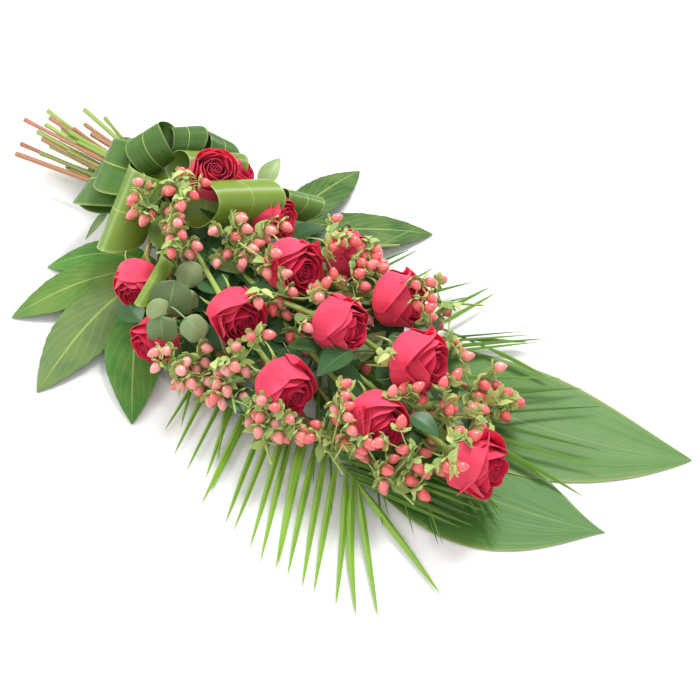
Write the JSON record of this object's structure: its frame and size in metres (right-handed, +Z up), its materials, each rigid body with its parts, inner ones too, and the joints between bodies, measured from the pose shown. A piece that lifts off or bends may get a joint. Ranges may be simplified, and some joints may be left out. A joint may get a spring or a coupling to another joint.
{
  "type": "funeral flower sheaf",
  "caption": "Flat tied sheaf of red roses and coral hypericum berries on palm, fatsia and aspidistra leaves, with rolled leaves over the twine and bare stems behind.",
  "frame": {"origin": "on the surface it lies on, under the middle of the whole sheaf's box", "axes": "+X along the sheaf from the cut stems to the leaf tips, +Z up out of the surface, +Y across it, with the palm side at -Y"},
  "size_m": [0.728, 0.4096, 0.1305],
  "materials": {
    "petal": "velvety crimson petals",
    "rose_stem": "smooth green stem and sepals",
    "berry": "glossy coral berries on green stalks",
    "rolled_leaf": "glossy dark green leaf",
    "eucalyptus": "waxy grey-green leaf",
    "fatsia": "satin green leaf",
    "palm": "satin yellow-green leaflets",
    "aspidistra": "satin green leaf",
    "twine": "rough natural twine"
  },
  "bodies": {
    "root": {"twine_binding": "twine", "rose_1_bloom": "petal", "rose_2_bloom": "petal", "rose_3_bloom": "petal", "rose_4_bloom": "petal", "rose_5_bloom": "petal", "rose_6_bloom": "petal", "rose_7_bloom": "petal", "rose_8_bloom": "petal", "rose_9_bloom": "petal", "rose_10_bloom": "petal", "rose_11_bloom": "petal", "rose_12_bloom": "petal", "rose_13_bloom": "petal", "rose_14_bloom": "petal", "rose_1_stem": "rose_stem", "rose_2_stem": "rose_stem", "rose_3_stem": "rose_stem", "rose_4_stem": "rose_stem", "rose_5_stem": "rose_stem", "rose_6_stem": "rose_stem", "rose_7_stem": "rose_stem", "rose_8_stem": "rose_stem", "rose_9_stem": "rose_stem", "rose_10_stem": "rose_stem", "rose_11_stem": "rose_stem", "rose_12_stem": "rose_stem", "rose_13_stem": "rose_stem", "rose_14_stem": "rose_stem", "hypericum_1": "berry", "hypericum_2": "berry", "hypericum_3": "berry", "hypericum_4": "berry", "hypericum_5": "berry", "hypericum_6": "berry", "hypericum_7": "berry", "hypericum_8": "berry", "hypericum_9": "berry", "hypericum_10": "berry", "hypericum_11": "berry", "hypericum_12": "berry", "hypericum_13": "berry", "roll_front": "rolled_leaf", "roll_right": "rolled_leaf", "roll_top": "rolled_leaf", "roll_left": "rolled_leaf", "roll_tip": "rolled_leaf", "roll_back": "rolled_leaf", "roll_back_right": "rolled_leaf", "roll_low": "rolled_leaf", "roll_small": "rolled_leaf", "roll_bright": "rolled_leaf", "eucalyptus": "eucalyptus", "fatsia_near": "fatsia", "fatsia_far": "fatsia", "palm_near": "palm", "palm_middle": "palm", "palm_far": "palm", "aspidistra_long": "aspidistra", "aspidistra_short": "aspidistra"}
  },
  "joints": []
}
